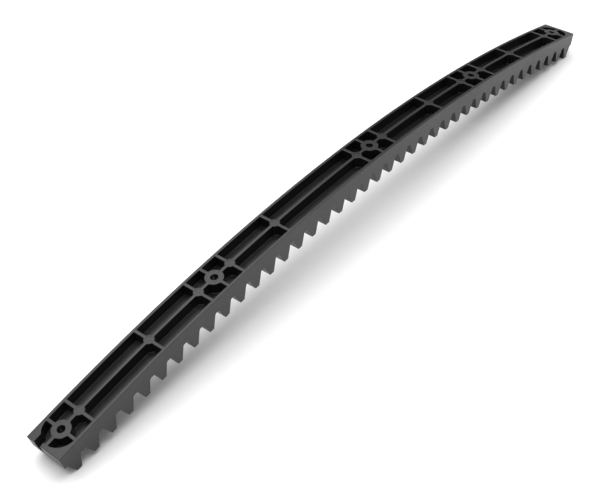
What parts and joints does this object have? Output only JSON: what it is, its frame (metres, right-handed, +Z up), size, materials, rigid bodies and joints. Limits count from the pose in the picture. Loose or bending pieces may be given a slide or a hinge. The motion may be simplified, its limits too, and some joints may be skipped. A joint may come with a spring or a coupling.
{
  "type": "curved gear rack",
  "caption": "Curved internal gear rack segment moulded in black plastic: teeth on the inside of the curve, ribbed pockets and screw bosses on the outside.",
  "frame": {"origin": "middle of the base of the segment's box: on the plane the two end teeth stand on, under the top of the arch, midway between the side faces", "axes": "+X along the segment, away from the end with the locating slot; +Y along the ring's axis; +Z up, away from the ring's axis at the middle of the segment"},
  "size_m": [0.5046, 0.024, 0.0458],
  "materials": {
    "moulded_plastic": "satin black moulded nylon or acetal"
  },
  "bodies": {
    "root": {"rack_segment": "moulded_plastic"}
  },
  "joints": []
}
